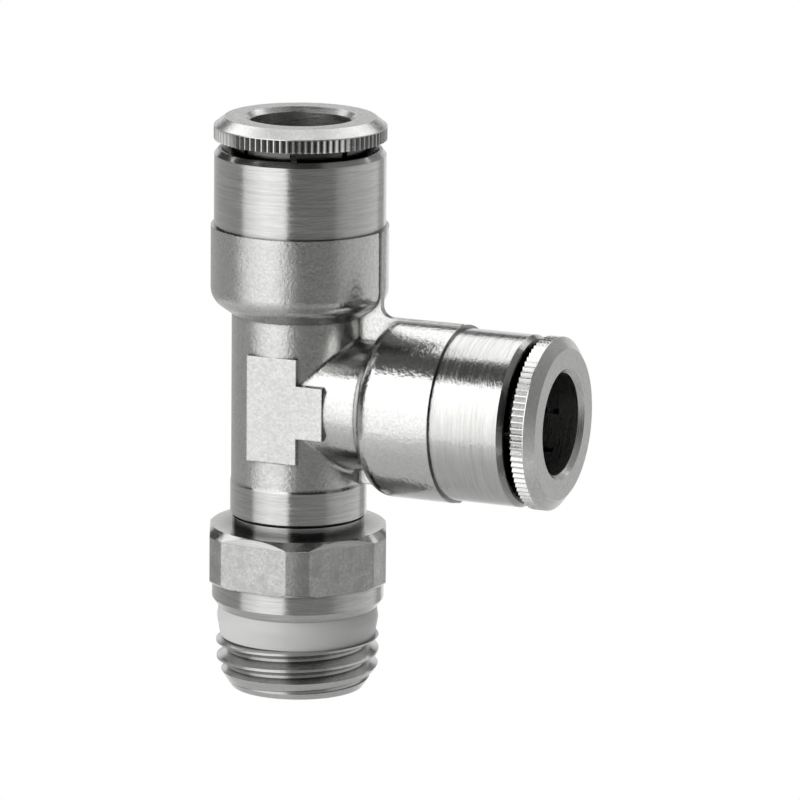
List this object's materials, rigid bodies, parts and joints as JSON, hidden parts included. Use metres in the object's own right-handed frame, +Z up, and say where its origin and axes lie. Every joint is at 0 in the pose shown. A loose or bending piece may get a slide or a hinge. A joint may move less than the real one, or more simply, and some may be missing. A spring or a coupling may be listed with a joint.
{
  "type": "push-in tee fitting",
  "caption": "Swivelling male run tee for pneumatic tube: push-in ports in line and to the side, release collets, hexagon and taper thread with sealing ring.",
  "frame": {"origin": "on the run axis, at the shoulder plane where the taper thread and its sealing ring begin", "axes": "+Z up the run axis from the thread to the upper port, +X along the side port, the forging's flat pad faces -Y"},
  "size_m": [0.0302, 0.0146, 0.046],
  "materials": {
    "plated_brass_body": "satin",
    "plated_brass_collet": "satin",
    "plated_brass_stem": "satin",
    "ptfe": "satin",
    "seal_rubber": "satin",
    "spring_wire": "satin"
  },
  "bodies": {
    "stem": {"swivel_stem": "plated_brass_stem", "thread_seal": "ptfe", "swivel_seal": "seal_rubber", "swivel_retainer": "spring_wire"},
    "tee": {"tee_body": "plated_brass_body", "run_tube_seal": "seal_rubber", "branch_tube_seal": "seal_rubber"},
    "run_collet": {"run_collet": "plated_brass_collet"},
    "branch_collet": {"branch_collet": "plated_brass_collet"}
  },
  "joints": [
    {"name": "swivel_turn", "type": "hinge", "parent": "stem", "child": "tee", "pos_m": [0, 0, 0.0169], "axis": [0, 0, 1], "continuous": true},
    {"name": "run_release", "type": "slide", "parent": "tee", "child": "run_collet", "axis": [0, 0, -1], "range_m": [0, 0.00075]},
    {"name": "branch_release", "type": "slide", "parent": "tee", "child": "branch_collet", "axis": [-1, 0, 0], "range_m": [0, 0.00075]}
  ]
}
